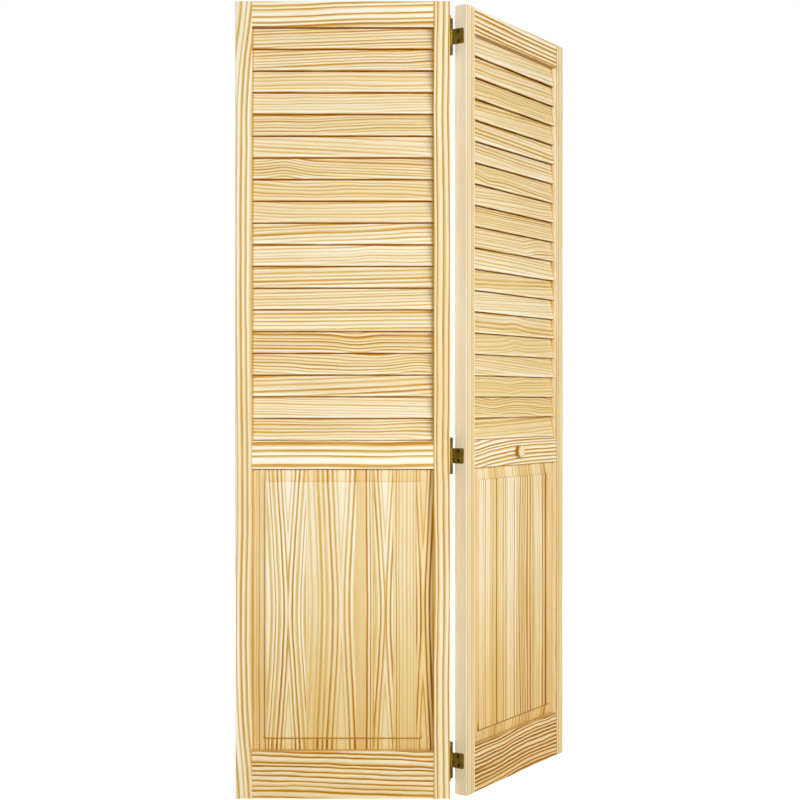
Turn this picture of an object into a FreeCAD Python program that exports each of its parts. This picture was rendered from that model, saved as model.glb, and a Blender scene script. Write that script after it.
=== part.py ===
"""Folding louvred door: two pine leaves, fixed louvres over a raised panel, joined by three hinges.

Millimetres, +Z up. The left leaf stands square to the front, which faces -Y, and the right leaf is
folded back about the hinge pins. The origin is the mouth of the left leaf's bottom pivot bore.
"""

import FreeCAD, Part
import os
from math import acos, asin, cos, degrees, pi, radians, sin

from FreeCAD import Vector

# Leaf
LEAF_WIDTH = 533.0
LEAF_HEIGHT = 1981.0
LEAF_THICKNESS = 35.0
FOLD_ANGLE = 56.8  # degrees that the right leaf is folded back from the flat, closed door

# Stiles and rails
STILE_WIDTH = 41.0
TOP_RAIL_HEIGHT = 64.0
MIDDLE_RAIL_HEIGHT = 70.0
BOTTOM_RAIL_HEIGHT = 118.0
PANEL_OPENING_HEIGHT = 701.0
ARRIS_RADIUS = 2.0
INNER_ARRIS_RADIUS = 1.2  # along the openings, clear of the louvre housings

# Louvres, which slope down to the front and stand in housings routed into the stiles
LOUVRE_COUNT = 19
LOUVRE_WIDTH = 70.0
LOUVRE_THICKNESS = 8.0
LOUVRE_EDGE_FLATS = 4  # flats that make up each rounded edge
LOUVRE_SETBACK = 7.0  # from either face of the leaf to the louvre's rounded edge
LOUVRE_FOOT_GAP = 1.0  # from the middle rail to the lowest louvre
LOUVRE_TENON = 6.0
LOUVRE_END_GAP = 0.5
LOUVRE_CLEARANCE = 0.15
HEAD_GROOVE_CLEARANCE = 0.5

# Raised panel, loose in grooves of the frame so that it can swell
PANEL_THICKNESS = 22.0
PANEL_TONGUE = 8.0
PANEL_MARGIN = 32.0  # from the frame to the raised field
PANEL_SHOULDER = 3.0
PANEL_GROOVE_DEPTH = 9.0
PANEL_SWELL_GAP = 2.0
PANEL_CLEARANCE = 0.2

# Bores for the pivots at the jamb and for the guide in the head track
PIVOT_BORE_DIAMETER = 9.5
PIVOT_BORE_DEPTH = 38.0
PIVOT_INSET = 20.5  # from the leaf's outer edge

# Hinges: a wide plate with a window on the left leaf, a small plate that folds into it on the right
HINGE_HEIGHT = 89.0
HINGE_GAUGE = 2.0
HINGE_BARREL_DIAMETER = 10.0
HINGE_PIN_DIAMETER = 5.0
HINGE_PIN_CLEARANCE = 0.05
HINGE_PIN_HEAD_DIAMETER = 7.6
HINGE_PIN_HEAD_HEIGHT = 1.4
HINGE_WIDE_PLATE = 32.0  # reach of each plate across the leaf's edge, from the leaf's back face
HINGE_SMALL_PLATE = 27.0
HINGE_SMALL_HEIGHT = 38.4
HINGE_KNUCKLE_GAP = 0.3
HINGE_WINDOW_GAP = 1.0
HINGE_CORNER_RADIUS = 3.5
LEAF_GAP = 8.0  # between the two leaves when the door is closed
PIN_STANDOFF = 8.5  # from the leaves' back faces to the pin's axis
TOP_HINGE_DROP = 77.5  # from the top of the leaf to the middle of the hinge
MIDDLE_HINGE_DROP = 3.5  # from the middle of the rail
BOTTOM_HINGE_RISE = 86.0

# Knob, turned in pine
KNOB_DIAMETER = 35.0
KNOB_PROJECTION = 16.0
KNOB_HEAD_DEPTH = 11.0
KNOB_HEAD_FLATS = 10
KNOB_SIDES = 32
KNOB_FLAT_DIAMETER = 4.0  # flat left at the tip by the lathe's centre
KNOB_BASE_DIAMETER = 20.0
KNOB_BASE_LIP = 2.0
KNOB_NECK_DIAMETER = 15.0

# Worked out from the sizes above
OPENING_WIDTH = LEAF_WIDTH - 2 * STILE_WIDTH
PANEL_BASE = BOTTOM_RAIL_HEIGHT
MIDDLE_RAIL_BASE = PANEL_BASE + PANEL_OPENING_HEIGHT
LOUVRE_BASE = MIDDLE_RAIL_BASE + MIDDLE_RAIL_HEIGHT
TOP_RAIL_BASE = LEAF_HEIGHT - TOP_RAIL_HEIGHT
LOUVRE_PITCH = (TOP_RAIL_BASE - LOUVRE_BASE) / LOUVRE_COUNT
LOUVRE_RUN = LOUVRE_WIDTH - LOUVRE_THICKNESS  # between the centres of its two rounded edges
LOUVRE_TILT = degrees(asin((LEAF_THICKNESS - 2 * LOUVRE_SETBACK - LOUVRE_THICKNESS) / LOUVRE_RUN))
LOUVRE_RISE = LOUVRE_RUN * cos(radians(LOUVRE_TILT)) + LOUVRE_THICKNESS
PANEL_GROOVE_WIDTH = PANEL_TONGUE + 2 * PANEL_CLEARANCE

X_AXIS = Vector(1, 0, 0)
Z_AXIS = Vector(0, 0, 1)


def bar(width, height, base, x=0.0):
    """A bar as thick as the leaf, centred on x, standing on the height base."""
    corner = Vector(x - width / 2, -LEAF_THICKNESS / 2, base)
    return Part.makeBox(width, LEAF_THICKNESS, height, corner)


def eased(solid, wanted, radius=ARRIS_RADIUS):
    """The solid with the edges rounded whose middle point is wanted."""
    edges = [edge for edge in solid.Edges if wanted(edge.BoundBox.Center, edge.BoundBox)]
    return solid.makeFillet(radius, edges)


def polygon(points):
    """A flat face through the points."""
    return Part.Face(Part.makePolygon([*points, points[0]]))


def louvre_centres():
    """Heights of the middles of the louvres, lowest first."""
    lowest = LOUVRE_BASE + LOUVRE_FOOT_GAP + LOUVRE_RISE / 2
    return [lowest + LOUVRE_PITCH * number for number in range(LOUVRE_COUNT)]


def louvre(height, start, length, clearance=0.0):
    """A flat slat with two rounded edges, tilted so that its front edge is low, running along X."""
    tilt = radians(LOUVRE_TILT)
    radius = LOUVRE_THICKNESS / 2 + clearance
    up_the_slat = Vector(0, sin(tilt), cos(tilt))
    across = Vector(0, cos(tilt), -sin(tilt))
    middle = Vector(start, 0, height)
    outline = []
    for end in (1, -1):
        centre = middle + up_the_slat * (end * LOUVRE_RUN / 2)
        for step in range(LOUVRE_EDGE_FLATS + 1):
            angle = pi * step / LOUVRE_EDGE_FLATS
            outline.append(centre + (across * cos(angle) + up_the_slat * sin(angle)) * (end * radius))
    return polygon(outline).extrude(X_AXIS * length)


def stile(side):
    """One upright of the leaf, on side -1 or +1 of its middle, with its groove and housings."""
    outer_x = side * LEAF_WIDTH / 2
    inner_x = side * OPENING_WIDTH / 2
    blank = bar(STILE_WIDTH, LEAF_HEIGHT, 0.0, (outer_x + inner_x) / 2)
    for edge_x, radius in ((outer_x, ARRIS_RADIUS), (inner_x, INNER_ARRIS_RADIUS)):
        blank = eased(
            blank,
            lambda middle, box: box.ZLength > LEAF_HEIGHT / 2 and abs(middle.x - edge_x) < 0.1,
            radius,
        )
    groove = Part.makeBox(
        PANEL_GROOVE_DEPTH,
        PANEL_GROOVE_WIDTH,
        PANEL_OPENING_HEIGHT + 2 * PANEL_GROOVE_DEPTH,
        Vector(min(inner_x, inner_x + side * PANEL_GROOVE_DEPTH), -PANEL_GROOVE_WIDTH / 2,
               PANEL_BASE - PANEL_GROOVE_DEPTH),
    )
    depth = LOUVRE_TENON + LOUVRE_END_GAP
    start = min(inner_x, inner_x + side * depth)
    housings = [louvre(height, start, depth, LOUVRE_CLEARANCE) for height in louvre_centres()]
    return blank.cut([groove, *housings])


def pivot_bore(side, base):
    """The cutter for a bore that starts at the height base in the middle of the outer stile."""
    x = side * (LEAF_WIDTH / 2 - PIVOT_INSET)
    return Part.makeCylinder(PIVOT_BORE_DIAMETER / 2, PIVOT_BORE_DEPTH, Vector(x, 0, base), Z_AXIS)


def rail(height, base, eased_heights):
    """A cross bar between the stiles, its arrises rounded along the edges at the heights given."""
    blank = bar(OPENING_WIDTH, height, base)
    return eased(blank, lambda middle, box: box.XLength > OPENING_WIDTH / 2
                 and any(abs(middle.z - level) < 1 for level in eased_heights))


def rail_groove(base):
    """The cutter for a panel groove along a rail's edge, from the height base upwards."""
    corner = Vector(-OPENING_WIDTH / 2, -PANEL_GROOVE_WIDTH / 2, base)
    return Part.makeBox(OPENING_WIDTH, PANEL_GROOVE_WIDTH, PANEL_GROOVE_DEPTH, corner)


def top_rail():
    """The head of the leaf, grooved underneath where the highest louvre stands up into it."""
    head = rail(TOP_RAIL_HEIGHT, TOP_RAIL_BASE, [TOP_RAIL_BASE, LEAF_HEIGHT])
    tip = louvre_centres()[-1] + LOUVRE_RISE / 2
    reach = tip + HEAD_GROOVE_CLEARANCE - TOP_RAIL_BASE
    if reach <= 0:
        return head
    highest = louvre(louvre_centres()[-1], 0.0, 1.0)
    above = Part.makeBox(1.0, LEAF_THICKNESS, LOUVRE_WIDTH, Vector(0, -LEAF_THICKNESS / 2, TOP_RAIL_BASE))
    housed = highest.common(above).BoundBox
    corner = Vector(-OPENING_WIDTH / 2, housed.YMin - HEAD_GROOVE_CLEARANCE, TOP_RAIL_BASE)
    return head.cut(Part.makeBox(OPENING_WIDTH, housed.YLength + 2 * HEAD_GROOVE_CLEARANCE, reach, corner))


def middle_rail():
    """The lock rail, which closes the louvres below and the panel above."""
    blank = rail(MIDDLE_RAIL_HEIGHT, MIDDLE_RAIL_BASE, [MIDDLE_RAIL_BASE, LOUVRE_BASE])
    return blank.cut(rail_groove(MIDDLE_RAIL_BASE))


def bottom_rail():
    """The foot of the leaf, grooved along its top edge for the panel."""
    blank = rail(BOTTOM_RAIL_HEIGHT, 0.0, [0.0, BOTTOM_RAIL_HEIGHT])
    return blank.cut(rail_groove(PANEL_BASE - PANEL_GROOVE_DEPTH))


def raised_section(low_edge, low_frame, high_frame, high_edge):
    """Corners of the panel's section: tongue, bevel, shoulder and field, as (place, depth)."""
    tongue = PANEL_TONGUE / 2
    field = PANEL_THICKNESS / 2
    half = [
        (low_edge, tongue),
        (low_frame, tongue),
        (low_frame + PANEL_MARGIN, field - PANEL_SHOULDER),
        (low_frame + PANEL_MARGIN, field),
        (high_frame - PANEL_MARGIN, field),
        (high_frame - PANEL_MARGIN, field - PANEL_SHOULDER),
        (high_frame, tongue),
        (high_edge, tongue),
    ]
    return half + [(place, -depth) for place, depth in reversed(half)]


def panel():
    """The raised panel, cut to its section both along and across, so that its bevels meet in mitres."""
    frame_x = OPENING_WIDTH / 2
    edge_x = frame_x + PANEL_GROOVE_DEPTH - PANEL_SWELL_GAP
    foot = PANEL_BASE - PANEL_GROOVE_DEPTH
    head = MIDDLE_RAIL_BASE + PANEL_GROOVE_DEPTH - PANEL_SWELL_GAP
    plan = raised_section(-edge_x, -frame_x, frame_x, edge_x)
    height = raised_section(foot, PANEL_BASE, MIDDLE_RAIL_BASE, head)
    upright = polygon([Vector(x, y, foot) for x, y in plan]).extrude(Z_AXIS * (head - foot))
    lying = polygon([Vector(-edge_x, y, z) for z, y in height]).extrude(X_AXIS * (2 * edge_x))
    return upright.common(lying)


def louvre_bank():
    """All the louvres of one leaf, each a slat of its own."""
    start = -OPENING_WIDTH / 2 - LOUVRE_TENON
    length = OPENING_WIDTH + 2 * LOUVRE_TENON
    return Part.makeCompound([louvre(height, start, length) for height in louvre_centres()])


def leaf(outer_side, bores):
    """The pieces of one leaf about its own middle; outer_side is away from the hinges."""
    outer = stile(outer_side).cut([pivot_bore(outer_side, base) for base in bores])
    return {
        "outer_stile": outer,
        "hinge_stile": stile(-outer_side),
        "top_rail": top_rail(),
        "middle_rail": middle_rail(),
        "bottom_rail": bottom_rail(),
        "panel": panel(),
        "louvres": louvre_bank(),
    }


def knuckle(low, high):
    """A stretch of the hinge barrel about the pin's axis, between two heights."""
    return Part.makeCylinder(HINGE_BARREL_DIAMETER / 2, high - low, Vector(0, 0, low), Z_AXIS)


def hinge_plate(side, reach, height):
    """A flat plate on the edge of the leaf on side -1 or +1, from the pin's axis across the edge."""
    face_x = side * LEAF_GAP / 2
    corner = Vector(min(face_x, face_x - side * HINGE_GAUGE), -PIN_STANDOFF - reach, -height / 2)
    blank = Part.makeBox(HINGE_GAUGE, PIN_STANDOFF + reach, height, corner)
    front = corner.y
    return eased(blank, lambda middle, box: box.XLength > HINGE_GAUGE / 2 and abs(middle.y - front) < 0.1,
                 HINGE_CORNER_RADIUS)


def hinge():
    """The pieces of one hinge about the middle of its pin, with the door closed."""
    half = HINGE_HEIGHT / 2
    small_half = HINGE_SMALL_HEIGHT / 2
    window_half = small_half + HINGE_KNUCKLE_GAP
    bore = Part.makeCylinder(
        HINGE_PIN_DIAMETER / 2 + HINGE_PIN_CLEARANCE, HINGE_HEIGHT, Vector(0, 0, -half), Z_AXIS)
    window_reach = PIN_STANDOFF + HINGE_SMALL_PLATE + HINGE_WINDOW_GAP
    window = Part.makeBox(
        HINGE_BARREL_DIAMETER, window_reach + HINGE_BARREL_DIAMETER, 2 * window_half,
        Vector(-HINGE_BARREL_DIAMETER / 2, -window_reach, -window_half))
    wide = hinge_plate(-1, HINGE_WIDE_PLATE, HINGE_HEIGHT).cut(window)
    wide = wide.fuse([knuckle(-half, -window_half), knuckle(window_half, half)]).cut(bore).removeSplitter()
    small = hinge_plate(1, HINGE_SMALL_PLATE, HINGE_SMALL_HEIGHT)
    small = small.fuse(knuckle(-small_half, small_half)).cut(bore).removeSplitter()
    shank_half = half + HINGE_KNUCKLE_GAP
    shank = Part.makeCylinder(HINGE_PIN_DIAMETER / 2, 2 * shank_half, Vector(0, 0, -shank_half), Z_AXIS)
    heads = [
        Part.makeCylinder(HINGE_PIN_HEAD_DIAMETER / 2, HINGE_PIN_HEAD_HEIGHT, Vector(0, 0, base), Z_AXIS)
        for base in (shank_half, -shank_half - HINGE_PIN_HEAD_HEIGHT)
    ]
    return {"left_plate": wide, "right_plate": small, "pin": shank.fuse(heads).removeSplitter()}


def turned(section):
    """A turned solid in flat sides about Y; section is (radius, distance to the front), base first."""
    turns = [2 * pi * side / KNOB_SIDES for side in range(KNOB_SIDES)]
    rings = [
        [Vector(radius * cos(turn), -out, radius * sin(turn)) for turn in turns]
        for radius, out in section
    ]
    faces = [polygon(rings[0]), polygon(rings[-1])]
    for low, high in zip(rings, rings[1:]):
        for side in range(KNOB_SIDES):
            faces.append(polygon([low[side - 1], low[side], high[side], high[side - 1]]))
    return Part.makeSolid(Part.makeShell(faces))


def knob():
    """A turned knob on the front of the middle rail, with a flared base and a flattened round head."""
    base_r, neck_r, head_r = KNOB_BASE_DIAMETER / 2, KNOB_NECK_DIAMETER / 2, KNOB_DIAMETER / 2
    head_middle = KNOB_PROJECTION - KNOB_HEAD_DEPTH / 2
    join = acos(neck_r / head_r)
    tip = -acos(KNOB_FLAT_DIAMETER / 2 / head_r)
    angles = [join + (tip - join) * step / KNOB_HEAD_FLATS for step in range(KNOB_HEAD_FLATS + 1)]
    head = [(head_r * cos(angle), head_middle - sin(angle) * KNOB_HEAD_DEPTH / 2) for angle in angles]
    waist = (neck_r, (KNOB_BASE_LIP + head[0][1]) / 2)
    shape = turned([(base_r, 0.0), (base_r, KNOB_BASE_LIP), waist, *head])
    shape.translate(Vector(0, -LEAF_THICKNESS / 2, MIDDLE_RAIL_BASE + MIDDLE_RAIL_HEIGHT / 2))
    return shape


def door():
    """Every node of the door, placed in the row frame and folded."""
    leaf_middle = LEAF_GAP / 2 + LEAF_WIDTH / 2
    leaf_plane = -PIN_STANDOFF - LEAF_THICKNESS / 2
    pin = Vector(LEAF_WIDTH - PIVOT_INSET + LEAF_GAP / 2, -leaf_plane, 0)
    nodes = {}

    def place(name, shape, shift, folds):
        placed = shape.copy()
        placed.translate(shift)
        if folds:
            placed.rotate(Vector(0, 0, 0), Z_AXIS, FOLD_ANGLE)
        placed.translate(pin)
        nodes[name] = placed

    left = leaf(-1, [0.0, LEAF_HEIGHT - PIVOT_BORE_DEPTH])
    right = leaf(1, [LEAF_HEIGHT - PIVOT_BORE_DEPTH])
    right["knob"] = knob()
    for name, shape in left.items():
        place(f"left_leaf_{name}", shape, Vector(-leaf_middle, leaf_plane, 0), False)
    for name, shape in right.items():
        place(f"right_leaf_{name}", shape, Vector(leaf_middle, leaf_plane, 0), True)
    heights = {
        "top": LEAF_HEIGHT - TOP_HINGE_DROP,
        "middle": MIDDLE_RAIL_BASE + MIDDLE_RAIL_HEIGHT / 2 - MIDDLE_HINGE_DROP,
        "bottom": BOTTOM_HINGE_RISE,
    }
    for level, height in heights.items():
        for name, shape in hinge().items():
            place(f"{level}_hinge_{name}", shape, Vector(0, 0, height), name == "right_plate")
    return nodes


os.makedirs("parts", exist_ok=True)
for node, solid in door().items():
    solid.exportStep(f"parts/{node}.step")
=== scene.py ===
"""Folding louvred door in clear pine: two leaves on brass hinges, each with louvres over a raised panel."""

import math

import bmesh
import bpy
import numpy as np
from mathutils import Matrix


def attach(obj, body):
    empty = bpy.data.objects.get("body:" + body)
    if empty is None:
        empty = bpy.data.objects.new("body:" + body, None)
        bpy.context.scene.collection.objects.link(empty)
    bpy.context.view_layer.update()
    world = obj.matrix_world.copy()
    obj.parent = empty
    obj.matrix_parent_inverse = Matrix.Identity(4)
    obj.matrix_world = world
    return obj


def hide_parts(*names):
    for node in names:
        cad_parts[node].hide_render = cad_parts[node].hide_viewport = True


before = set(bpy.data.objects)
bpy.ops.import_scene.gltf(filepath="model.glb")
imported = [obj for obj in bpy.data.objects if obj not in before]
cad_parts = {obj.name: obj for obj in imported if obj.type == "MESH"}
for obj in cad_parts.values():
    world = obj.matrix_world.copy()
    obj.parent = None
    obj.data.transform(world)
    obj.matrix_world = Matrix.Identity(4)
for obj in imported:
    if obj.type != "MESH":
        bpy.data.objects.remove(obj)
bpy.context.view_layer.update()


# Stiles
# The two uprights of each leaf are straight lengths of clear pine, planed square with lightly rounded
# arrises. They are grooved for the panel, routed for the louvres, and dowelled to the rails.

PIN = np.array([0.5165, 0.0260])
FOLD = math.radians(56.8)
LEAF_MIDDLE = np.array([0.2705, -0.0260])  # from the hinge pins to a leaf's middle, door closed

CREAM = (249, 245, 226)
HONEY = (230, 205, 150)
TOAST = (212, 168, 102)
GOLD = (220, 186, 110)
AMBER = (190, 135, 38)
UMBER = (148, 85, 16)
# Place in a growth ring, and how far the wood has darkened there
RING_BAND = [(0.0, 0.20), (0.08, 0.03), (0.28, 0.0), (0.50, 0.24),
             (0.71, 0.85), (0.84, 1.0), (0.93, 0.88), (1.0, 0.20)]
# How fast the widths change from ring to ring, and the range, in rings, that this moves a ring by
UNEVEN_PACE, UNEVEN_REACH = 0.45, 1.3
# Waves to a metre along the grain and across it, from a board's slow bends to its fibres
SLOW_WAVES, BEND_WAVES, PATCH_WAVES = (1.1, 16.0), (2.6, 6.0), (5.0, 40.0)
TREMBLE_WAVES, STREAK_WAVES, FIBRE_WAVES = (11.0, 26.0), (7.0, 380.0), (26.0, 1300.0)
MEAN_WARMTH, SLOW_WARMTH = 0.32, 1.1
FOOT_SHARE, FOOT_LATE = 0.65, 0.6
MOST_LATE, LEAST_PATCH, PATCH_GAIN = 1.06, 0.62, 0.76
MOST_STREAK = 0.2
UMBER_GAIN, MOST_UMBER = 1.4, 0.92
DARK_FIBRE, FIBRE_GAIN, MOST_FIBRE = 0.57, 1.2, 0.22
PINE_ROUGHNESS, LATE_POLISH, FIBRE_ROUGHNESS = 0.56, 0.10, 0.16
LATE_RELIEF, FIBRE_RELIEF = 0.5, 0.6
PORE_DEPTH, PORE_STRENGTH = 0.00012, 0.25
PINE_GLOSS = 0.06
# Width over which painted shade on an underside and painted light on a top come on, and how pale that
# painted light makes a top
PAINTED_SHADE_AND_LIGHT_EDGE = 0.0005
LEDGE_PAINTED_LIGHT = 0.8


class Leaf:
    """Where a leaf stands: its middle on the floor, and how far it is turned about +Z."""

    def __init__(self, side):
        self.side = side
        self.turn = FOLD if side == "right" else 0.0
        x, y = LEAF_MIDDLE if side == "right" else LEAF_MIDDLE * (-1, 1)
        cos, sin = math.cos(self.turn), math.sin(self.turn)
        self.middle = (PIN[0] + cos * x - sin * y, PIN[1] + sin * x + cos * y, 0.0)

    def place(self, points):
        """Points given across, through and up the leaf, turned by the fold and moved to its middle."""
        cos, sin = math.cos(self.turn), math.sin(self.turn)
        turned = points @ np.array([[cos, sin, 0.0], [-sin, cos, 0.0], [0.0, 0.0, 1.0]])
        return turned + np.array(self.middle)


LEAVES = [Leaf("left"), Leaf("right")]


class Tone:
    """A shader socket that can stand in a Python expression, beside numbers and other sockets."""

    def __init__(self, tree, socket=None):
        self.tree = tree
        self.socket = socket

    def node(self, kind, settings, sockets, out=0):
        """A new node with its settings and then its sockets filled; gives one of its outputs."""
        made = self.tree.nodes.new("ShaderNode" + kind)
        for key, value in settings.items():
            if key == "stops":
                ramp = made.color_ramp.elements
                while len(ramp) < len(value):
                    ramp.new(1.0)
                for stop, (place, shade) in zip(ramp, value):
                    stop.position = place
                    stop.color = shade if hasattr(shade, "__len__") else (shade, shade, shade, 1.0)
            elif key == "interpolation":
                made.color_ramp.interpolation = value
            else:
                setattr(made, key, value)
        for key, value in sockets.items():
            if isinstance(value, Tone):
                self.tree.links.new(value.socket, made.inputs[key])
            else:
                made.inputs[key].default_value = value
        return Tone(self.tree, made.outputs[out])

    def math(self, operation, *values):
        return self.node("Math", {"operation": operation}, dict(enumerate(values)))

    def __add__(self, other):
        return self.math("ADD", self, other)

    def __sub__(self, other):
        return self.math("SUBTRACT", self, other)

    def __rsub__(self, other):
        return self.math("SUBTRACT", other, self)

    def __mul__(self, other):
        return self.math("MULTIPLY", self, other)

    def __truediv__(self, other):
        return self.math("DIVIDE", self, other)

    __radd__ = __add__
    __rmul__ = __mul__

    def held(self, low=0.0, high=1.0):
        """The value kept between two limits."""
        return self.node("Clamp", {}, {0: self, 1: low, 2: high})

    def parts(self):
        """The three parts of a vector or colour."""
        made = self.node("SeparateXYZ", {}, {0: self})
        return [Tone(self.tree, socket) for socket in made.socket.node.outputs]

    def mixed(self, first, second):
        """The colour between first and second at this value."""
        return self.node("Mix", {"data_type": "RGBA"}, {0: self, 6: first, 7: second}, out=2)

    def noise(self, x, y, z, detail=2.0, out=0):
        """Smooth noise at a place given by three values, about 0.5."""
        place = self.node("CombineXYZ", {}, {0: x, 1: y, 2: z})
        return self.node("TexNoise", {}, {"Vector": place, "Scale": 1.0, "Detail": detail}, out=out)


def tint(colour):
    """A colour written as 0 to 255 on screen, as the linear colour that a shader takes."""
    share = np.array(colour) / 255.0
    linear = np.where(share <= 0.04045, share / 12.92, ((share + 0.055) / 1.055) ** 2.4)
    return (*(float(value) for value in linear), 1.0)


def finish_named(name):
    """A new material, with its shader and a socket to start expressions from."""
    finish = bpy.data.materials.new(name)
    finish.use_nodes = True
    return finish, finish.node_tree.nodes["Principled BSDF"], Tone(finish.node_tree)


def pine(name, leaf, along, span, rings=None, heart=(None, None), drift=((0.0, 0.0), (1.0, 0.0)),
         wander=0.003, ripple=0.0012, late=1.0, spread=0.34, tone=0.0, foot=0.0, streaks=0.5, seed=0.0,
         pieces=None, stain=None, painted_soffit_shade=None, painted_lit_ledge=None):
    """Clear pine, as growth rings round a heart line that runs near the board.

    A point's distance from the heart line, divided by the width of a ring, gives its ring. In each ring
    pale early wood darkens to amber late wood and stops short at the next one. The heart line drifts
    sideways along the board's span, wanders a little and ripples. along is the leaf axis of the grain,
    heart is where the line lies across and through the leaf, foot warms the board towards its start, and
    pieces, where a node holds several boards, gives each its own heart, ring width and tone. The last
    three arguments paint light and shade into the colour. The first is the colour of painted shade, laid
    on as far as the mesh's own attribute for it says; the second gives the height below which the board's
    underside is painted dark as shade, and how dark; the third the height above which its top is painted
    pale as light.
    """
    finish, shader, wood = finish_named(name)
    here = wood.node("TexCoord", {}, {}, out="Object")
    spot = wood.node("Mapping", {"vector_type": "TEXTURE"},
                     {"Vector": here, "Location": leaf.middle, "Rotation": (0.0, 0.0, leaf.turn)})
    x, y, z = spot.parts()
    run, across, depth = {"x": (x, z, y), "z": (z, x, y), "y": (y, x, z)}[along]
    share = (run - span[0]) / (span[1] - span[0])
    reach = max(abs(shift) for _, shift in drift) or 1.0
    stops = [(place, 0.5 + 0.5 * shift / reach) for place, shift in drift]
    path = wood.node("ValToRGB", {"interpolation": "CARDINAL", "stops": stops}, {0: share})
    sway = (path.parts()[0] - 0.5) * (2.0 * reach)
    heart_across, heart_depth = heart
    swell = 0.0
    if pieces:
        board = pieces(wood, across, depth, share)
        heart_across, heart_depth, swell = board["across"], board["depth"], board["swell"]
        rings, late, tone, run = board["rings"], board["late"], board["tone"], run + board["offset"]
        wander = board["wander"]
    long, wide = BEND_WAVES
    bend = wood.noise(run * long + seed, across * wide, depth * wide + seed, out=1).parts()
    long, wide = TREMBLE_WAVES
    tremble = wood.noise(run * long + seed, across * wide, depth * wide + seed)
    v = across - heart_across - sway - (bend[0] - 0.5) * (2.0 * wander) - (tremble - 0.5) * (2.0 * ripple)
    w = depth - heart_depth - (bend[1] - 0.5) * (2.0 * wander)
    ring = (wood.math("SQRT", v * v + w * w) + swell) / rings
    uneven = wood.node("TexNoise", {"noise_dimensions": "1D"},
                       {"W": ring * UNEVEN_PACE + seed, "Scale": 1.0})
    ring = ring + (uneven - 0.5) * UNEVEN_REACH
    strong = wood.node("TexWhiteNoise", {"noise_dimensions": "1D"},
                       {"W": wood.math("FLOOR", ring) + seed}, out="Value")
    band = wood.node("ValToRGB", {"stops": RING_BAND}, {0: wood.math("FRACT", ring)})
    long, wide = PATCH_WAVES
    patch = wood.noise(run * long + seed, across * wide, depth * wide)
    low = (FOOT_SHARE - share).held() * foot
    line = band.parts()[0] * (MOST_LATE - spread + strong * spread) * (LEAST_PATCH + PATCH_GAIN * patch)
    line = line * (1.0 + low * FOOT_LATE) * late
    long, wide = SLOW_WAVES
    slow = wood.noise(run * long + seed, across * wide + seed, depth * wide)
    long, wide = FIBRE_WAVES
    fibre = wood.noise(run * long, across * wide, depth * wide, detail=3.0)
    long, wide = STREAK_WAVES
    streak = wood.noise(run * long + seed, across * wide, depth * wide)
    warm = (slow - 0.5) * SLOW_WARMTH + MEAN_WARMTH + tone + low + (streak - 0.5) * streaks
    warm = warm.held(0.0, 2.0)
    line = line + ((streak - 0.5) * (0.5 * streaks)).held(0.0, MOST_STREAK)
    colour = warm.mixed(tint(CREAM), tint(HONEY))
    colour = (warm - 1.0).held().mixed(colour, tint(TOAST))
    colour = (line * 2.0).held().mixed(colour, tint(GOLD))
    colour = (line * 2.0 - 1.0).held().mixed(colour, tint(AMBER))
    colour = (line * UMBER_GAIN - UMBER_GAIN).held(0.0, MOST_UMBER).mixed(colour, tint(UMBER))
    colour = ((fibre - DARK_FIBRE) * FIBRE_GAIN).held(0.0, MOST_FIBRE).mixed(colour, tint(UMBER))
    # Painted shade: below the given height the board's underside is darkened towards umber
    if painted_soffit_shade:
        level, amount = painted_soffit_shade
        shade = ((level - z) / PAINTED_SHADE_AND_LIGHT_EDGE + 1.0).held() * amount
        colour = shade.mixed(colour, tint(UMBER))
    # Painted light: above the given height the board's top is paled towards honey
    if painted_lit_ledge:
        pale = ((z - painted_lit_ledge) / PAINTED_SHADE_AND_LIGHT_EDGE + 1.0).held() * LEDGE_PAINTED_LIGHT
        colour = pale.mixed(colour, tint(HONEY))
    # Painted shade: through amber to the given colour, as far as the mesh's own attribute for it says
    if stain:
        amount = wood.node("Attribute", {"attribute_name": "stain"}, {}, out="Fac")
        amount = board["stain"](amount) if pieces else amount
        colour = (amount * 2.0).held().mixed(colour, tint(AMBER))
        colour = (amount * 2.0 - 1.0).held().mixed(colour, tint(stain))
    roughness = PINE_ROUGHNESS - line * LATE_POLISH + (fibre - 0.5) * FIBRE_ROUGHNESS
    relief = line * LATE_RELIEF + fibre * FIBRE_RELIEF
    bump = wood.node("Bump", {}, {"Strength": PORE_STRENGTH, "Distance": PORE_DEPTH, "Height": relief})
    for socket, value in {"Base Color": colour, "Roughness": roughness, "Normal": bump}.items():
        finish.node_tree.links.new(value.socket, shader.inputs[socket])
    shader.inputs["Specular IOR Level"].default_value = PINE_GLOSS
    return finish


def dress(node, finish):
    """Gives a CAD node its finish."""
    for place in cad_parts[node].material_slots:
        place.material = finish


LEAF_SPAN = (0.0, 1.981)
STILES = {
    "left_leaf_outer_stile": dict(
        rings=0.0132, heart=(-0.340, -0.03), wander=0.004, late=0.76, tone=-0.08, foot=0.3, seed=3.1,
        drift=[(0.0, 0.019), (0.07, 0.008), (0.15, 0.0), (0.40, 0.002), (0.62, -0.002), (0.80, 0.0),
               (0.88, 0.003), (0.94, 0.012), (1.0, 0.026)]),
    "left_leaf_hinge_stile": dict(
        rings=0.0122, heart=(0.345, -0.02), wander=0.004, late=1.05, tone=0.24, seed=8.6,
        drift=[(0.0, 0.002), (0.14, 0.0), (0.28, 0.003), (0.45, -0.001), (0.70, 0.002), (0.86, -0.002),
               (1.0, 0.001)]),
    "right_leaf_hinge_stile": dict(
        rings=0.0062, heart=(-0.5769, 0.0), wander=0.0006, ripple=0.0004, foot=0.3, seed=12.4),
    "right_leaf_outer_stile": dict(
        rings=0.0095, heart=(0.3545, -0.05), wander=0.003, late=0.95, tone=0.04, foot=0.4, seed=17.9),
}
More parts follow.
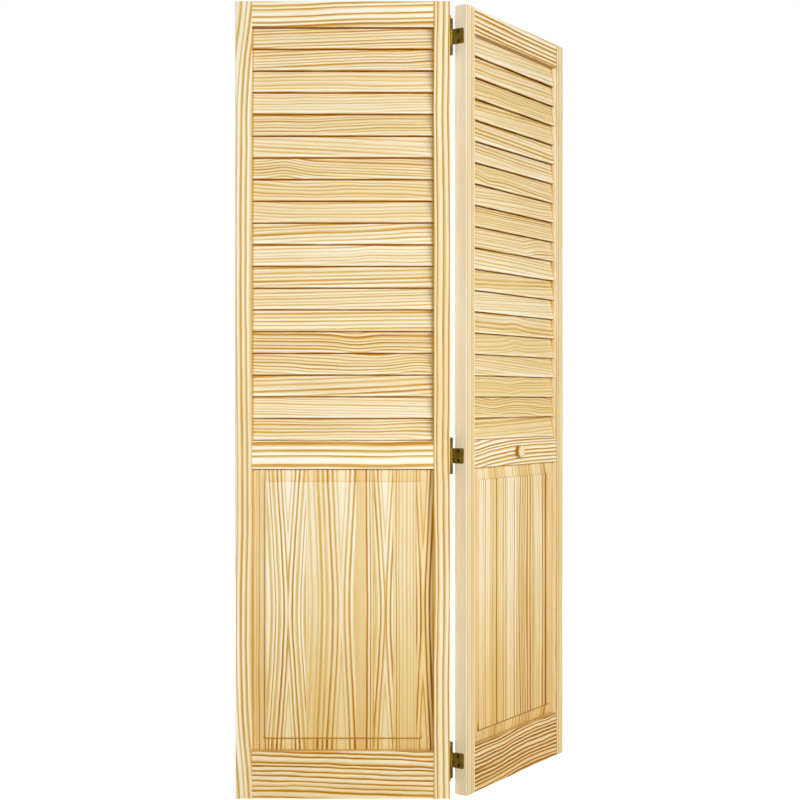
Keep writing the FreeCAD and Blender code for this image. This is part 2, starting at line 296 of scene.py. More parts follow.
for node, figure in STILES.items():
    leaf = LEAVES[node.startswith("right")]
    board = node.replace("_leaf_", " ").replace("_", " ")
    dress(node, pine(board + " pine", leaf, "z", LEAF_SPAN, **figure))


# Rails
# Three cross bars of the same pine tie the stiles together at the head, at the knob and at the foot.
# Their faces lie flush with the stiles, and the foot rails are darker, with bolder and wavier grain.

RAIL_SPAN = (-0.2255, 0.2255)
LOUVRE_HEAD = 1.917
PANEL_FOOT, PANEL_HEAD = 0.118, 0.819
# The head rails are painted dark below the louvres' head, as shade on their undersides, and the foot rails
# are painted pale above the panel's foot, as light on their tops
RAILS = {
    "left_leaf_top_rail": dict(
        rings=0.0106, heart=(1.60, -0.30), wander=0.003, late=1.15, tone=-0.20, seed=21.3,
        painted_soffit_shade=(LOUVRE_HEAD, 0.8),
        drift=[(0.0, 0.0), (0.15, 0.001), (0.38, 0.006), (0.60, 0.010), (0.80, 0.011), (1.0, 0.0135)]),
    "left_leaf_middle_rail": dict(
        rings=0.0139, heart=(0.60, -0.19), wander=0.002, late=0.95, tone=-0.24, seed=27.0,
        drift=[(0.0, 0.0), (0.35, 0.001), (0.70, -0.001), (1.0, 0.001)]),
    "left_leaf_bottom_rail": dict(
        rings=0.0122, heart=(0.40, -0.05), wander=0.004, ripple=0.0045, late=1.50, tone=0.22, seed=33.6,
        painted_lit_ledge=PANEL_FOOT,
        drift=[(0.0, 0.006), (0.25, 0.004), (0.50, 0.000), (0.75, -0.004), (1.0, -0.007)]),
    "right_leaf_top_rail": dict(
        rings=0.0092, heart=(1.62, -0.30), wander=0.004, late=1.60, tone=-0.20, seed=61.3,
        painted_soffit_shade=(LOUVRE_HEAD, 0.4),
        drift=[(0.0, 0.004), (0.40, 0.001), (1.0, -0.003)]),
    "right_leaf_middle_rail": dict(
        rings=0.0082, heart=(0.62, -0.19), wander=0.003, late=1.20, tone=-0.22, seed=67.0,
        drift=[(0.0, -0.022), (0.15, -0.012), (0.35, -0.004), (0.65, 0.0), (1.0, 0.001)]),
    "right_leaf_bottom_rail": dict(
        rings=0.0098, heart=(0.060, -0.022), wander=0.008, ripple=0.0036, late=4.2, spread=0.6, tone=0.55,
        seed=73.6, painted_lit_ledge=PANEL_FOOT,
        drift=[(0.0, -0.010), (0.35, -0.004), (0.60, 0.004), (1.0, 0.002)]),
}
for node, figure in RAILS.items():
    leaf = LEAVES[node.startswith("right")]
    dress(node, pine(node.replace("_", " ") + " pine", leaf, "x", RAIL_SPAN, **figure))


# Raised panels
# Each panel is glued up from upright staves, bevelled all round on both faces to a tongue that floats
# in the frame's grooves, so that a flat field stands up in the middle behind a small shoulder.

OPENING_HALF = 0.2255
FIELD_CORNER = 0.002
CORNER_STEPS = 6
# The quirk at the field's foot, which is painted as shadow, and the width next to the frame painted in shade
QUIRK = (0.0280, 0.0324)
CREVICE = 0.0020
SMOOTH_ANGLE = 35.0
# Distance in from the frame, and half the panel's thickness there
PANEL_SECTION = np.array([
    (-0.0070, 0.0040), (0.0000, 0.0040), (0.0040, 0.0045), (0.0160, 0.0060), (0.0275, 0.0075),
    (0.0284, 0.0076), (0.0308, 0.0079), (0.0312, 0.0078), (0.0316, 0.0075), (0.0319, 0.0076),
    (0.0320, 0.0081), (0.0321, 0.0093), (0.0322, 0.0102), (0.0325, 0.0107), (0.0330, 0.0109),
    (0.0338, 0.0110),
])


def carried_rings(name, rings, marks=None):
    """A closed mesh whose skin joins each ring of points to the next, with a flat face at either end.

    rings is an array of pieces, rings in a piece, points round a ring, and the three coordinates.
    marks gives attributes by name, each an array that spreads over the pieces, rings and points.
    """
    pieces, count, around, _ = rings.shape
    index = np.arange(pieces * count * around).reshape(pieces, count, around)
    nxt = np.roll(index, -1, axis=2)
    quads = np.stack([index[:, :-1], nxt[:, :-1], nxt[:, 1:], index[:, 1:]], axis=-1).reshape(-1, 4)
    ends = np.concatenate([index[:, 0, ::-1], index[:, -1]])
    mesh = bpy.data.meshes.new(name)
    mesh.from_pydata(rings.reshape(-1, 3), [], [*quads.tolist(), *ends.tolist()])
    for mark, values in (marks or {}).items():
        kept = mesh.attributes.new(mark, "FLOAT", "POINT")
        kept.data.foreach_set("value", np.broadcast_to(values, rings.shape[:3]).astype(np.float32).ravel())
    shell = bmesh.new()
    shell.from_mesh(mesh)
    bmesh.ops.recalc_face_normals(shell, faces=shell.faces)
    shell.to_mesh(mesh)
    shell.free()
    mesh.shade_smooth()
    mesh.set_sharp_from_angle(angle=math.radians(SMOOTH_ANGLE))
    made = bpy.data.objects.new(name, mesh)
    bpy.context.scene.collection.objects.link(made)
    return made


def raised_panel():
    """The panel's section carried round a rectangle whose corners round off towards the field.

    The painted shade is one in the quirk along the field's foot, a painted shadow under the field, and falls
    to nought up its sides. The margin is one on the bevel, two where that meets the frame, where painted
    shade is laid on, and nought on the field.
    """
    inset, half = PANEL_SECTION.T
    inset = np.concatenate([inset[::-1], inset])
    depth = np.concatenate([-half[::-1], half])
    quirk = (inset > QUIRK[0]) & (inset < QUIRK[1])
    corner = FIELD_CORNER * np.clip(inset / PANEL_SECTION[-1, 0], 0.0, 1.0) + 1e-5
    turn = np.linspace(0.0, np.pi / 2, CORNER_STEPS + 1)
    angle = (turn[None, :] + np.arange(4)[:, None] * np.pi / 2).ravel()
    side = np.repeat(np.array([(1, 1), (-1, 1), (-1, -1), (1, -1)]), CORNER_STEPS + 1, axis=0)
    middle = (PANEL_FOOT + PANEL_HEAD) / 2
    half_x = (OPENING_HALF - inset - corner)[:, None]
    half_z = ((PANEL_HEAD - PANEL_FOOT) / 2 - inset - corner)[:, None]
    x = side[:, 0] * half_x + np.cos(angle) * corner[:, None]
    z = side[:, 1] * half_z + np.sin(angle) * corner[:, None] + middle
    rings = np.stack([x, np.broadcast_to(depth[:, None], x.shape), z], axis=-1)[None]
    margin = 1.0 * (inset < QUIRK[1]) + (inset < CREVICE)
    return rings, {"stain": quirk[:, None] * (side[:, 1] < 0), "margin": margin[:, None]}


# Each stave's right edge, then its heart across the opening, its heart's depth and how far its rings rise
# towards the panel's mid height, then ring width, strength of the late wood and shade. Places across the
# opening are shares of it, and lengths are in millimetres.
STAVES = {
    "left": [
        (0.080, -0.300, 30.0, 0.0, 8.5, 1.00, 0.12),
        (0.295, 0.200, -10.0, 25.0, 10.5, 0.95, -0.26),
        (0.400, -0.400, 30.0, -16.0, 12.0, 1.15, 0.06),
        (0.572, 0.490, -10.0, 20.0, 13.0, 0.85, -0.04),
        (0.625, 1.400, 30.0, 0.0, 6.0, 0.55, 0.60),
        (0.670, -0.400, 30.0, -5.0, 8.5, 1.35, 0.08),
        (0.775, 0.735, -10.0, 24.0, 11.0, 0.90, -0.16),
        (0.905, -0.100, 30.0, 0.0, 8.5, 0.85, 0.24),
        (1.000, 0.945, -10.0, 18.0, 11.0, 1.20, 0.22),
    ],
    "right": [
        (0.075, 0.600, 20.0, 0.0, 10.0, 0.95, 0.30),
        (0.190, -0.500, 30.0, 4.0, 11.0, 0.70, 0.00),
        (0.300, 1.500, 30.0, 0.0, 14.0, 0.95, 0.58),
        (0.395, -0.300, 20.0, -4.0, 10.0, 0.80, 0.12),
        (0.520, 1.300, 30.0, 0.0, 12.0, 0.75, -0.08),
        (0.640, -0.700, -9.0, 14.0, 11.0, 0.85, 0.25),
        (0.725, -0.200, 30.0, 0.0, 13.0, 1.15, 0.50),
        (0.830, 1.600, 30.0, 3.0, 10.0, 0.80, -0.05),
        (0.910, -0.600, 30.0, 0.0, 12.0, 1.10, 0.48),
        (1.000, 1.800, 30.0, 0.0, 11.0, 0.80, 0.12),
    ],
}
# Columns from the heart to the shade, three to a ramp, with the least and the most of each
STAVE_RANGES = [
    ((1, 2, 3), (-1.0, -20.0, -40.0), (2.0, 40.0, 40.0)),
    ((4, 5, 6), (4.0, 0.0, -1.0), (16.0, 2.0, 1.0)),
]
# For each leaf, how warm its panel is, how dark the painted shadow in the quirk, how bold the late wood, and
# how much bolder it is on the bevel
PANEL_LOOKS = {"left": (0.04, 0.62, 1.0, 0.35), "right": (0.07, 0.85, 1.4, -0.45)}
PANEL_FIGURES = {
    "left": dict(streaks=0.5, foot=1.1, seed=5.3),
    "right": dict(streaks=1.0, foot=1.25, seed=47.9),
}
MILLIMETRE = 0.001
CREVICE_PAINTED_SHADE = 0.42
QUIRK_FALL = 40.0
# The bevel is warmer than the field, and warmer still the higher it is, a painted shade that is strongest on
# the top bevel
BEVEL_WARMTH, TOP_BEVEL_PAINTED_SHADE = 0.13, 0.17
V_ROUNDING = 0.07
STAVE_OFFSET = 1.7
STAVE_WANDER = 0.003


def staves_of(side):
    """The numbers of each stave, stepping at the glue lines, with rings that rise in a V to mid height."""
    rows = STAVES[side]
    edges = [0.0] + [row[0] for row in rows[:-1]]
    warmth, strength, bold, keen = PANEL_LOOKS[side]

    def step(wood, place, columns, low, high):
        """Three columns of the table, each kept as a share of its range in one stepped ramp."""
        spans = list(zip(columns, low, high))
        shades = [tuple((row[c] - a) / (b - a) for c, a, b in spans) + (1.0,) for row in rows]
        settings = {"interpolation": "CONSTANT", "stops": list(zip(edges, shades))}
        made = wood.node("ValToRGB", settings, {0: place}).parts()
        return [part * (b - a) + a for part, a, b in zip(made, low, high)]

    def pieces(wood, across, depth, share):
        place = across / (2 * OPENING_HALF) + 0.5
        (heart, deep, rise), (rings, late, tone) = [step(wood, place, *columns) for columns in STAVE_RANGES]
        middle = share * 2.0 - 1.0
        peak = 1.0 - wood.math("SQRT", middle * middle + V_ROUNDING)
        margin = wood.node("Attribute", {"attribute_name": "margin"}, {}, out="Fac")
        # Painted shade where the bevel meets the frame
        crevice = (margin - 1.0).held() * CREVICE_PAINTED_SHADE
        margin = margin.held()

        # The painted shadow in the quirk or the painted shade at the frame, whichever is the greater
        def stain(quirk):
            return wood.math("MAXIMUM", wood.math("POWER", quirk, QUIRK_FALL) * strength, crevice)

        return {
            "across": (heart - 0.5) * (2 * OPENING_HALF),
            "depth": wood.math("SIGN", depth) * deep * -MILLIMETRE,
            "swell": peak * rise * MILLIMETRE,
            "rings": rings * MILLIMETRE,
            "late": late * (bold + margin * keen),
            "tone": tone + margin * (BEVEL_WARMTH + share * TOP_BEVEL_PAINTED_SHADE) + warmth,
            "offset": heart * STAVE_OFFSET,
            "wander": STAVE_WANDER,
            "stain": stain,
        }
    return pieces


for leaf in LEAVES:
    boards, marks = raised_panel()
    piece = carried_rings(f"{leaf.side}_raised_panel", leaf.place(boards), marks)
    piece.data.materials.append(pine(
        f"{leaf.side} panel pine", leaf, "z", (PANEL_FOOT, PANEL_HEAD), spread=0.85,
        pieces=staves_of(leaf.side), stain=UMBER, **PANEL_FIGURES[leaf.side]))
    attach(piece, "root")
    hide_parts(f"{leaf.side}_leaf_panel")


# Louvres
# Nineteen thin slats with rounded edges slope down to the front of each leaf, one above the other.
# Their ends stand in housings routed into the stiles, and no two are from the same board.

LOUVRE_COUNT = 19
LOUVRE_FOOT = 0.889
LOUVRE_WIDTH, LOUVRE_THICKNESS = 0.070, 0.008
LOUVRE_SETBACK = 0.0070
LOUVRE_FOOT_GAP = 0.001
LOWEST_DROP = 0.0009
LOUVRE_REACH = OPENING_HALF + 0.006
LEAF_THICKNESS = 0.035
EDGE_STEPS = 12
# Painted shade under each slat's nose and in the crevice behind it: the width over which it comes on, and
# how far below the part covered by the next slat it starts
SHADE_PAINT_EDGE = 0.0020
SHADE_PAINT_DROP = 0.0018
# The painted shade comes on round the nose from the first angle to the second, in radians, and goes off the
# lowest slat's back likewise
UNDER_NOSE = (0.35, 1.15)
OPEN_BACK = (1.7, 2.2)
# Colours of the painted crevice shade on the left leaf and on the right
SLAT_SHADE_PAINT = (176, 96, 8)
DARK_SLAT_SHADE_PAINT = (112, 58, 8)


def louvre_bank():
    """A slat's outline, two half circles joined by flats, tilted, repeated up the leaf, carried across it.

    The painted shade is nought over most of a face, and one under its nose and in the crevice behind the
    next one, but not on the back of the lowest slat, which stands open. That slat's foot comes down to the
    rail.
    """
    run = LOUVRE_WIDTH - LOUVRE_THICKNESS
    tilt = math.asin((LEAF_THICKNESS - 2 * LOUVRE_SETBACK - LOUVRE_THICKNESS) / run)
    turn = np.linspace(0.0, np.pi, EDGE_STEPS + 1)
    radius = LOUVRE_THICKNESS / 2
    rise = run * math.cos(tilt) + LOUVRE_THICKNESS
    pitch = (LOUVRE_HEAD - LOUVRE_FOOT) / LOUVRE_COUNT
    covered = (pitch - rise / 2 - radius * math.sin(tilt)) / math.cos(tilt)
    start = covered - SHADE_PAINT_DROP
    face = start + SHADE_PAINT_EDGE * np.array([1.0, 0.0])
    along = np.concatenate([run / 2 + radius * np.sin(turn), face])
    along = np.concatenate([along, -along])
    through = np.concatenate([radius * np.cos(turn), np.full(2, -radius)])
    through = np.concatenate([through, -through])
    under = np.concatenate([np.interp(turn, UNDER_NOSE, (0.0, 1.0)), [1.0, 0.0]])
    bare = np.concatenate([np.interp(turn, OPEN_BACK, (1.0, 0.0)), [0.0, 0.0]])
    stain = np.tile(under, (LOUVRE_COUNT, 1, 2))
    stain[0, 0, len(under):] *= bare
    y = along * math.sin(tilt) + through * math.cos(tilt)
    z = along * math.cos(tilt) - through * math.sin(tilt)
    middles = LOUVRE_FOOT + LOUVRE_FOOT_GAP + rise / 2 + pitch * np.arange(LOUVRE_COUNT)
    ends = np.array([-LOUVRE_REACH, LOUVRE_REACH])
    shape = (LOUVRE_COUNT, 2, len(y))
    heights = np.tile(middles[:, None, None] + z, (1, 2, 1))
    heights[0][:, along < 1e-6 - run / 2] -= LOWEST_DROP
    rings = np.stack([
        np.broadcast_to(ends[None, :, None], shape),
        np.broadcast_to(y[None, None, :], shape),
        heights,
    ], axis=-1)
    return rings, {"piece": np.arange(LOUVRE_COUNT)[:, None, None] + 1.0, "stain": stain}


# For each leaf, where its slats' random numbers are drawn, then how far their painted crevice shade is
# thinned and how warm they are
SLAT_DRAWS = {"left": (2.7, 31.9, 77.3, 118.4), "right": (15.2, 48.8, 93.6, 131.7)}
SLAT_LOOKS = {"left": (0.0, 0.14), "right": (0.5, 0.42)}
SLAT_FIGURES = {"left": dict(seed=2.7, stain=SLAT_SHADE_PAINT), "right": dict(seed=61.3, stain=DARK_SLAT_SHADE_PAINT)}
NOSE_DEPTH, NOSE_EDGE = -0.0094, 0.0006
# Painted shade on the slats' ends next to the stiles: where it starts, as a share of the span from its
# middle, how wide its edge is and how dark
HOUSING_START, HOUSING_EDGE, HOUSING_PAINTED_SHADE = 0.4885, 0.0060, 0.30
SWIRL_REACH, SWIRL_HEIGHT = 0.10, 0.022
LEAST_ASIDE, ASIDE_SPREAD = 0.05, 0.20
LEAST_RING, RING_SPREAD = 0.0065, 0.0055
LEAST_LATE, LATE_SPREAD = 0.52, 0.60
LEAST_WANDER, WANDER_SPREAD = 0.003, 0.026
DEPTH_SPREAD, SLOPE_SPREAD, TONE_SPREAD, OFFSET_SPREAD = 0.06, 0.045, 0.35, 7.0
# The front edge of each slat is a painted highlight: how much its late wood fades there, and how much paler
# it is
NOSE_HIGHLIGHT_FADE, NOSE_PAINTED_HIGHLIGHT = 0.5, 0.4
# The least share of the painted crevice shade, which varies along each slat
LEAST_PAINTED_SHADE = 0.35
DRAW_STEP = 1.37


def slats_of(side):
    """Each slat's numbers, drawn from the number on its points, with a front edge painted paler as a
    highlight.
    """
    thinned, warmth = SLAT_LOOKS[side]

    def pieces(wood, across, depth, share):
        number = wood.node("Attribute", {"attribute_name": "piece"}, {}, out="Fac")
        flat = {"noise_dimensions": "1D"}
        draws = [wood.node("TexWhiteNoise", flat, {"W": number * DRAW_STEP + shift}, out="Color").parts()
                 for shift in SLAT_DRAWS[side]]
        (aside, deep, offset), (slope, rings, late), (tone, bend, place), (size, _, _) = draws
        pitch = (LOUVRE_HEAD - LOUVRE_FOOT) / LOUVRE_COUNT
        middle = number * pitch + (LOUVRE_FOOT - 0.5 * pitch)
        # Painted highlight along the front edge
        nose = ((NOSE_DEPTH - depth) / NOSE_EDGE).held()
        reach = (share - 0.1 - place * 0.8) / SWIRL_REACH
        swirl = wood.math("EXPONENT", reach * reach * -1.0) * (size - 0.55).held() * SWIRL_HEIGHT
        aside = (aside - 0.5) * ASIDE_SPREAD + wood.math("SIGN", aside - 0.5) * LEAST_ASIDE
        # The painted crevice shade varies along each slat
        faint = (wood.noise(share * 3.5 + number * 5.3, 0.0, 0.0) * 2.4 - 0.45).held(LEAST_PAINTED_SHADE, 1.0)
        # Painted shade on the slats' ends, next to the stiles
        end = wood.math("ABSOLUTE", share - 0.5)
        housing = ((end - HOUSING_START) / HOUSING_EDGE).held() * HOUSING_PAINTED_SHADE

        def stain(crevice):
            return wood.math("MAXIMUM", ((crevice - thinned) / (1.0 - thinned)).held() * faint, housing)

        return {
            "across": middle + aside,
            "depth": (deep - 0.5) * DEPTH_SPREAD,
            "swell": (slope - 0.5) * share * SLOPE_SPREAD + swirl,
            "rings": rings * RING_SPREAD + LEAST_RING,
            "late": (late * LATE_SPREAD + LEAST_LATE) * (1.0 - nose * NOSE_HIGHLIGHT_FADE),
            "tone": (tone - 0.5) * TONE_SPREAD + warmth - nose * NOSE_PAINTED_HIGHLIGHT,
            "offset": offset * OFFSET_SPREAD,
            "wander": bend * bend * WANDER_SPREAD + LEAST_WANDER,
            "stain": stain,
        }
    return pieces


for leaf in LEAVES:
    slats, marks = louvre_bank()
    piece = carried_rings(f"{leaf.side}_louvres", leaf.place(slats), marks)
    piece.data.materials.append(pine(
        f"{leaf.side} louvre pine", leaf, "x", RAIL_SPAN, streaks=0.9, spread=0.5,
        pieces=slats_of(leaf.side), **SLAT_FIGURES[leaf.side]))
    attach(piece, "root")
    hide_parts(f"{leaf.side}_leaf_louvres")


# Knob
# One pine knob, turned with the grain along its axis and screwed on from behind through the middle
# rail, is what the folding leaf is pulled by.

KNOB_HEIGHT = 0.854
KNOB_FRONT = -LEAF_THICKNESS / 2
KNOB_SIDES = 64
# Radius, and distance out from the rail, up to the head
KNOB_SECTION = np.array([
    (0.0100, 0.0000), (0.0100, 0.0012), (0.0097, 0.0019), (0.0088, 0.0026), (0.0079, 0.0034),
    (0.0075, 0.0042), (0.0077, 0.0050),
])
HEAD_RADIUS, HEAD_HALF, HEAD_OUT = 0.0175, 0.0055, 0.0105
HEAD_BACK, HEAD_FRONT, HEAD_STEPS = 62.0, -84.0, 26
# The painted shade round the rim comes on over the head from the first angle to the second, in radians
RIM = (-0.66, -0.32)
RIM_PAINTED_SHADE = 0.48
KNOB_SPAN = (-0.05, 0.0)


def turned_knob():
    """The knob's section, its head an ellipse, spun about the axis that stands out of the rail.

    The painted shade is nought on the front of the head and rises over the rim to the back and the neck.
    """
    head = np.linspace(math.radians(HEAD_BACK), math.radians(HEAD_FRONT), HEAD_STEPS)
    oval = np.stack([HEAD_RADIUS * np.cos(head), HEAD_OUT - HEAD_HALF * np.sin(head)], axis=1)
    section = np.concatenate([KNOB_SECTION, oval])
    spin = np.linspace(0.0, 2 * np.pi, KNOB_SIDES, endpoint=False)
    x = section[:, :1] * np.cos(spin)
    z = section[:, :1] * np.sin(spin) + KNOB_HEIGHT
    y = np.broadcast_to(KNOB_FRONT - section[:, 1:], x.shape)
    behind = np.interp(head, RIM, (0.0, 1.0))
    rim = np.concatenate([np.ones(len(KNOB_SECTION)), behind]) * RIM_PAINTED_SHADE
    return np.stack([x, y, z], axis=-1)[None], {"stain": rim[:, None]}


turning, marks = turned_knob()
knob = carried_rings("turned_knob", LEAVES[1].place(turning), marks)
# The knob's rim and neck are laid over with painted shade in umber
knob.data.materials.append(pine(
    "knob pine", LEAVES[1], "y", KNOB_SPAN, rings=0.0042, heart=(0.05, 0.885), late=0.65, tone=-0.05,
    seed=71.2, stain=UMBER))
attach(knob, "root")
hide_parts("right_leaf_knob")


# Hinges
# Three antiqued brass hinges join the leaves' edges, with their pins behind: a wide plate with a window
# on the left leaf, a small plate that folds into it on the right leaf, and a pin.

BRASS = (152, 129, 47)
TARNISH = (110, 91, 28)
# A darker copy of the same brass, painted shade, for the left plates and the pins in the gap between the
# leaves
SHADED_BRASS = (102, 88, 34)
SHADED_TARNISH = (62, 51, 17)
WORN = (182, 164, 90)
# Near black colours of the screw heads, which are painted shade, as if each head sat in a deep recess
SCREW_SHADE = (62, 47, 17)
DEEP_SCREW_SHADE = (34, 24, 8)
CLOUD_WAVES, CLOUD_WAVES_UP, SPECK_WAVES = 90.0, 60.0, 700.0
CLOUD_START, CLOUD_GAIN = 0.36, 2.6
SPECK_START, SPECK_GAIN, MOST_SPECK = 0.58, 3.0, 0.6
SPECK_DEPTH, SPECK_STRENGTH = 0.0001, 0.3
BRASS_ROUGHNESS, SPECK_POLISH, BRASS_METAL = 0.52, 0.25, 0.9


def antique_brass(name, bright, dark, seed):
    """Brass darkened by a chemical patina in soft clouds, rubbed brighter in specks."""
    finish, shader, metal = finish_named(name)
    x, y, z = metal.node("TexCoord", {}, {}, out="Object").parts()
    cloud = metal.noise(x * CLOUD_WAVES + seed, y * CLOUD_WAVES, z * CLOUD_WAVES_UP, detail=4.0)
    speck = metal.noise(x * SPECK_WAVES, y * SPECK_WAVES + seed, z * SPECK_WAVES)
    colour = ((cloud - CLOUD_START) * CLOUD_GAIN).held().mixed(tint(dark), tint(bright))
    colour = ((speck - SPECK_START) * SPECK_GAIN).held(0.0, MOST_SPECK).mixed(colour, tint(WORN))
    roughness = BRASS_ROUGHNESS - (speck - 0.5) * SPECK_POLISH
    bump = metal.node("Bump", {}, {"Strength": SPECK_STRENGTH, "Distance": SPECK_DEPTH, "Height": speck})
    for socket, value in {"Base Color": colour, "Roughness": roughness, "Normal": bump}.items():
        finish.node_tree.links.new(value.socket, shader.inputs[socket])
    shader.inputs["Metallic"].default_value = BRASS_METAL
    return finish


rubbed_brass = antique_brass("antique hinge brass", BRASS, TARNISH, 4.0)
# The left plates and the pins take the darker copy, painted as in shade
shaded_hinge_brass = antique_brass("hinge brass in painted shade", SHADED_BRASS, SHADED_TARNISH, 6.5)
for level in ("top", "middle", "bottom"):
    dress(f"{level}_hinge_right_plate", rubbed_brass)
    dress(f"{level}_hinge_left_plate", shaded_hinge_brass)
    dress(f"{level}_hinge_pin", shaded_hinge_brass)


# Screws
# Countersunk screws with a cross in the head fix the hinge plates to the edges of the leaves, and one
# comes through the middle rail from behind to hold the knob.

SCREW_SIDES = 40
SCREW_RADIUS = 0.0042
# Rings of a head, as shares of its radius, and the dome's height, the cross's depth and arms likewise
SCREW_RINGS = (1.0, 1.0, 0.95, 0.86, 0.76, 0.66, 0.57, 0.48, 0.39, 0.30, 0.21, 0.12, 0.04)
DOME_HEIGHT, RIM_HEIGHT, SUNK_RIM = 0.26, 0.02, -0.15
CROSS_DEPTH, ARM_HALF, ARM_WALL, ARM_REACH, ARM_END = 0.22, 0.20, 0.10, 0.62, 0.12
PLATE_FACE = 0.2685
HINGE_HEIGHTS = (1.9035, 0.8505, 0.0860)
WIDE_PLATE_ROWS, WIDE_PLATE_LIFTS = (-0.004, 0.010), (-0.033, 0.033)
SMALL_PLATE_ROW, SMALL_PLATE_LIFTS = 0.005, (-0.0115, 0.0115)


def screw_heads(leaf, seats, outward):
    """Low domes, whose height falls with the square of the radius, less a cross with sloping walls."""
    around = np.linspace(0.0, 2 * np.pi, SCREW_SIDES, endpoint=False)
    reach = np.array(SCREW_RINGS)[:, None]
    u, v = reach * np.cos(around), reach * np.sin(around)
    near, far = np.minimum(abs(u), abs(v)), np.maximum(abs(u), abs(v))
    cross = np.clip((ARM_HALF - near) / ARM_WALL, 0.0, 1.0) * np.clip((ARM_REACH - far) / ARM_END, 0.0, 1.0)
    height = DOME_HEIGHT * (1.0 - reach ** 2) + RIM_HEIGHT - CROSS_DEPTH * cross
    height[0] = SUNK_RIM
    outward = np.array(outward, dtype=float)
    upward = np.array([0.0, 0.0, 1.0])
    aside = np.cross(outward, upward)
    dome = SCREW_RADIUS * (height[..., None] * outward + u[..., None] * aside + v[..., None] * upward)
    return leaf.place(np.array(seats)[:, None, None, :] + dome)


WIDE_PLATE_SEATS = [(PLATE_FACE, y, z + lift) for z in HINGE_HEIGHTS for y in WIDE_PLATE_ROWS
                    for lift in WIDE_PLATE_LIFTS]
SMALL_PLATE_SEATS = [(-PLATE_FACE, SMALL_PLATE_ROW, z + lift) for z in HINGE_HEIGHTS
                     for lift in SMALL_PLATE_LIFTS]
SCREWS = {
    "left_hinge_screws": (LEAVES[0], WIDE_PLATE_SEATS, (1, 0, 0)),
    "right_hinge_screws": (LEAVES[1], SMALL_PLATE_SEATS, (-1, 0, 0)),
    "knob_screw": (LEAVES[1], [(0.0, -KNOB_FRONT, KNOB_HEIGHT)], (0, 1, 0)),
}
# The screw heads are painted dark as shade
shaded_screw_brass = antique_brass("screw brass in painted shade", SCREW_SHADE, DEEP_SCREW_SHADE, 9.0)
for name, (leaf, seats, outward) in SCREWS.items():
    piece = carried_rings(name, screw_heads(leaf, seats, outward))
    piece.data.materials.append(shaded_screw_brass)
    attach(piece, "root")


# Studio
# A plain pale floor and a white surround, with broad lamps square to the left leaf, to the right of the
# camera, behind the door and above it.

FLOOR_HALF = 40.0
DOOR_PLACE = (0.4, 0.2)
# Share of the glow's reach round the door, and how bright the floor shows there
FLOOR_GLOW = [(0.0, 0.80), (0.2, 0.80), (1.0, 1.0)]
GLOW_REACH = 4.0
# Share of the way from straight down to straight up, and how much light comes from there, most of it from a
# little above the horizon, where softboxes would stand all round
SURROUND = [(0.0, 0.06), (0.46, 0.10), (0.50, 1.0), (0.58, 1.0), (0.68, 0.40), (0.80, 0.10), (1.0, 0.06)]
SURROUND_LIGHT = 0.6

floor_mesh = bpy.data.meshes.new("floor")
corners = [(-FLOOR_HALF, -FLOOR_HALF, 0.0), (FLOOR_HALF, -FLOOR_HALF, 0.0), (FLOOR_HALF, FLOOR_HALF, 0.0),
           (-FLOOR_HALF, FLOOR_HALF, 0.0)]
floor_mesh.from_pydata(corners, [], [(0, 1, 2, 3)])
floor = bpy.data.objects.new("floor", floor_mesh)
bpy.context.scene.collection.objects.link(floor)


def seen_rays(tree):
    """One for rays that show the surround, to the camera or in a reflection, and nought for the rest."""
    rays = tree.node("LightPath", {}, {}).socket.node.outputs
    kinds = ("Camera", "Glossy", "Transmission")
    straight, glossy, through = (Tone(tree.tree, rays[f"Is {kind} Ray"]) for kind in kinds)
    return tree.math("MAXIMUM", straight, tree.math("MAXIMUM", glossy, through))


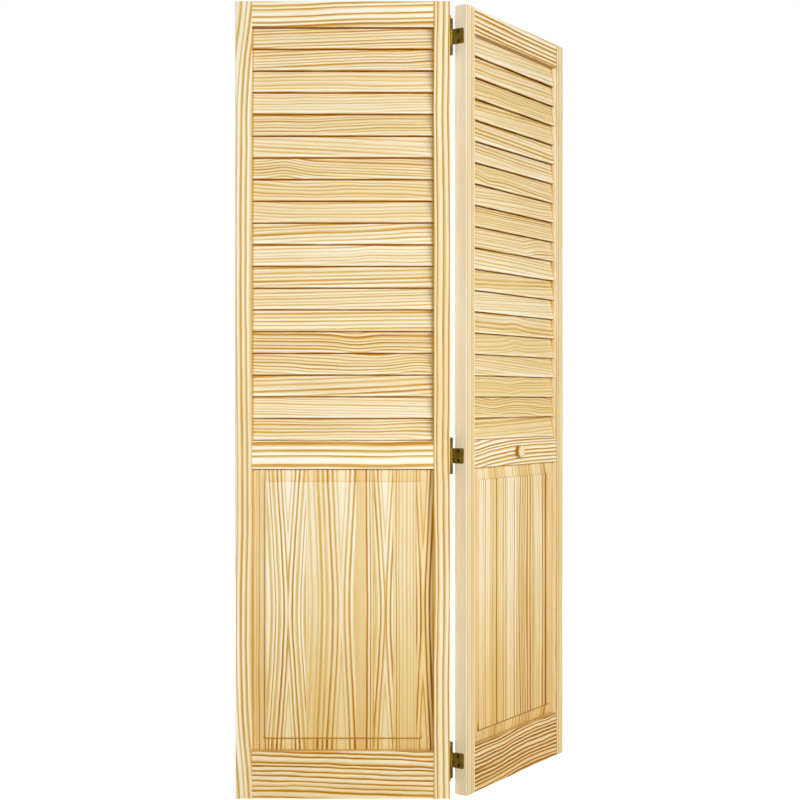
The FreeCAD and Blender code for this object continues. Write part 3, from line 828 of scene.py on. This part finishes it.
paper, shader, white = finish_named("studio floor")
shader.inputs["Base Color"].default_value = (0.60, 0.60, 0.60, 1.0)
shader.inputs["Roughness"].default_value = 0.9
shader.inputs["Specular IOR Level"].default_value = 0.0
shader.inputs["Emission Strength"].default_value = 1.0
x, y, z = white.node("TexCoord", {}, {}, out="Object").parts()
x, y = x - DOOR_PLACE[0], y - DOOR_PLACE[1]
away = white.math("SQRT", x * x + y * y)
glow = white.node("ValToRGB", {"stops": FLOOR_GLOW}, {0: away / GLOW_REACH}).parts()[0]
white.tree.links.new((glow * seen_rays(white)).socket, shader.inputs["Emission Color"])
floor.data.materials.append(paper)

world = bpy.data.worlds.new("surround")
bpy.context.scene.world = world
world.use_nodes = True
background = world.node_tree.nodes["Background"]
background.inputs["Color"].default_value = (1.0, 1.0, 1.0, 1.0)
air = Tone(world.node_tree)
seen = seen_rays(air)
height = air.node("TexCoord", {}, {}, out="Generated").parts()[2]
around = air.node("ValToRGB", {"stops": SURROUND}, {0: height * 0.5 + 0.5}).parts()[0] * SURROUND_LIGHT
world.node_tree.links.new((seen + (1.0 - seen) * around).socket, background.inputs["Strength"])


def soft_lamp(name, place, target, size, power, spread=150.0):
    """A broad lamp, wide and tall as size says, at place and facing target; spread is in degrees."""
    lamp = bpy.data.lights.new(name, "AREA")
    lamp.shape = "RECTANGLE"
    lamp.size, lamp.size_y = size
    lamp.energy = power
    lamp.spread = math.radians(spread)
    made = bpy.data.objects.new(name, lamp)
    bpy.context.scene.collection.objects.link(made)
    made.location = place
    made.visible_camera = False
    aim = np.array(target) - np.array(place)
    tip = math.acos(-aim[2] / np.linalg.norm(aim))
    made.rotation_euler = (tip, 0.0, math.atan2(aim[1], aim[0]) - math.pi / 2)


soft_lamp("key lamp", (0.25, -5.0, 2.10), (0.4, 0.1, 0.85), (2.2, 0.35), 70.0)
soft_lamp("fill lamp", (4.2, -3.8, 2.10), (0.6, 0.1, 0.85), (3.2, 0.35), 117.0)
soft_lamp("back lamp", (0.2, 4.5, 2.4), (0.4, 0.1, 1.0), (3.0, 1.5), 135.0)
soft_lamp("top lamp", (0.45, 0.25, 4.6), (0.45, 0.26, 1.98), (1.6, 1.0), 6.5, spread=60.0)

camera = bpy.data.objects.new("camera", bpy.data.cameras.new("camera"))
bpy.context.scene.collection.objects.link(camera)
camera.location = (0.3884, -3.5385, 0.9905)
camera.rotation_euler = (math.pi / 2, 0.0, 0.0)
camera.data.lens = 63.8
camera.data.sensor_width = 36.0
camera.data.clip_end = 200.0
bpy.context.scene.camera = camera
bpy.context.scene.view_settings.view_transform = "Standard"
